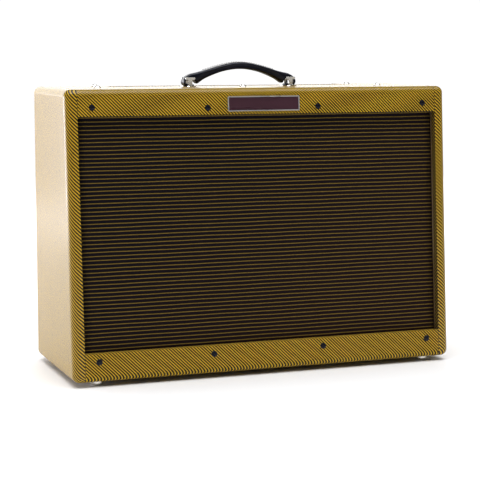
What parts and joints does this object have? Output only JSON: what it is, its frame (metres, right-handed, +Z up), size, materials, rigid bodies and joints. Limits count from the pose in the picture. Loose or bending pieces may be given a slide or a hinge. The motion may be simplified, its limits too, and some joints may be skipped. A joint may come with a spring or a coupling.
{
  "type": "guitar amplifier",
  "caption": "Tweed-covered combo guitar amplifier with a leaning front, dark striped grille, arched leather handle, recessed top controls and an open back holding speakers and a valve chassis.",
  "frame": {"origin": "on the floor, at the middle of the footprint", "axes": "+X across the front to the viewer's right, -Y is the front, +Z up"},
  "size_m": [0.689, 0.2679, 0.5305],
  "materials": {
    "pine": "bare sanded pine",
    "plywood": "stained plywood",
    "tweed": "lacquered diagonal tweed",
    "grille_cloth": "dark woven cloth with thin gold lines",
    "nickel": "polished nickel plate",
    "black_steel": "blackened screws",
    "nameplate": "dark enamel field with a bright rim",
    "basket_paint": "satin black",
    "motor_paint": "gold-bronze paint",
    "cone_paper": "pressed paper",
    "suspension_cloth": "doped cloth",
    "leather": "black stitched leather",
    "chrome_steel": "plated steel",
    "pot_metal": "bare metal",
    "knob_plastic": "moulded black",
    "black_plastic": "moulded black",
    "jewel_glass": "faceted red",
    "board_fibre": "black fibre board",
    "capacitor_film": "wax-dipped",
    "transformer_paint": "black enamel",
    "valve_glass": "clear glass"
  },
  "bodies": {
    "cabinet": {"back_cleats": "pine", "back_panel_lower": "tweed", "back_panel_upper": "tweed", "baffle_board": "plywood", "baffle_fixings": "black_steel", "board_capacitors": "capacitor_film", "bottom_board": "pine", "chassis": "chrome_steel", "chassis_screws": "nickel", "circuit_board": "board_fibre", "control_panel": "chrome_steel", "covering_bottom": "tweed", "covering_left": "tweed", "covering_right": "tweed", "covering_top": "tweed", "foot_glides": "nickel", "fuse_holder": "black_plastic", "grille_cloth": "grille_cloth", "handle_brackets": "nickel", "input_jacks": "nickel", "left_suspension": "suspension_cloth", "lower_front_rail": "pine", "mains_inlet": "black_plastic", "nameplate": "nameplate", "output_transformer": "transformer_paint", "panel_nuts": "nickel", "pilot_bezel": "nickel", "pilot_jewel": "jewel_glass", "pots": "pot_metal", "power_transformer": "transformer_paint", "power_valves": "valve_glass", "preamp_valves": "valve_glass", "rectifier_valve": "valve_glass", "right_suspension": "suspension_cloth", "side_board_left": "pine", "side_board_right": "pine", "speaker_baskets": "basket_paint", "speaker_bolts": "black_steel", "speaker_motors": "motor_paint", "toggle_bodies": "nickel", "top_board": "pine", "upper_front_rail": "pine", "valve_sockets": "black_plastic", "wood_screws": "nickel"},
    "handle": {"handle_grip": "leather"},
    "normal_volume": {"normal_volume_knob": "knob_plastic", "normal_volume_shaft": "pot_metal"},
    "bright_volume": {"bright_volume_knob": "knob_plastic", "bright_volume_shaft": "pot_metal"},
    "treble": {"treble_knob": "knob_plastic", "treble_shaft": "pot_metal"},
    "bass": {"bass_knob": "knob_plastic", "bass_shaft": "pot_metal"},
    "presence": {"presence_knob": "knob_plastic", "presence_shaft": "pot_metal"},
    "standby_lever": {"standby_toggle": "nickel"},
    "power_lever": {"power_toggle": "nickel"},
    "fuse_carrier": {"fuse_cap": "black_plastic"},
    "left_diaphragm": {"left_cone": "cone_paper"},
    "right_diaphragm": {"right_cone": "cone_paper"}
  },
  "joints": [
    {"name": "handle_lift", "type": "slide", "parent": "cabinet", "child": "handle", "axis": [0, 0, 1], "range_m": [0, 0.003]},
    {"name": "normal_volume_turn", "type": "hinge", "parent": "cabinet", "child": "normal_volume", "pos_m": [-0.106, 0.088, 0.475], "axis": [0, 0, 1], "range_deg": [-188, 112]},
    {"name": "bright_volume_turn", "type": "hinge", "parent": "cabinet", "child": "bright_volume", "pos_m": [-0.062, 0.088, 0.475], "axis": [0, 0, 1], "range_deg": [-125, 175]},
    {"name": "treble_turn", "type": "hinge", "parent": "cabinet", "child": "treble", "pos_m": [-0.018, 0.088, 0.475], "axis": [0, 0, 1], "range_deg": [-162, 138]},
    {"name": "bass_turn", "type": "hinge", "parent": "cabinet", "child": "bass", "pos_m": [0.026, 0.088, 0.475], "axis": [0, 0, 1], "range_deg": [-102, 198]},
    {"name": "presence_turn", "type": "hinge", "parent": "cabinet", "child": "presence", "pos_m": [0.07, 0.088, 0.475], "axis": [0, 0, 1], "range_deg": [-210, 90]},
    {"name": "standby_flip", "type": "hinge", "parent": "cabinet", "child": "standby_lever", "pos_m": [0.108, 0.088, 0.474], "axis": [-1, 0, 0], "range_deg": [0, 24]},
    {"name": "power_flip", "type": "hinge", "parent": "cabinet", "child": "power_lever", "pos_m": [0.14, 0.088, 0.474], "axis": [-1, 0, 0], "range_deg": [0, 24]},
    {"name": "fuse_cap_pull", "type": "slide", "parent": "cabinet", "child": "fuse_carrier", "axis": [0, 0, 1], "range_m": [0, 0.045]},
    {"name": "left_cone_travel", "type": "slide", "parent": "cabinet", "child": "left_diaphragm", "axis": [0, -0.9974, 0.0727], "range_m": [-0.002, 0.002], "stiffness_N_per_m": 2000, "deforming": ["left_suspension"]},
    {"name": "right_cone_travel", "type": "slide", "parent": "cabinet", "child": "right_diaphragm", "axis": [0, -0.9974, 0.0727], "range_m": [-0.002, 0.002], "stiffness_N_per_m": 2000, "deforming": ["right_suspension"]}
  ]
}
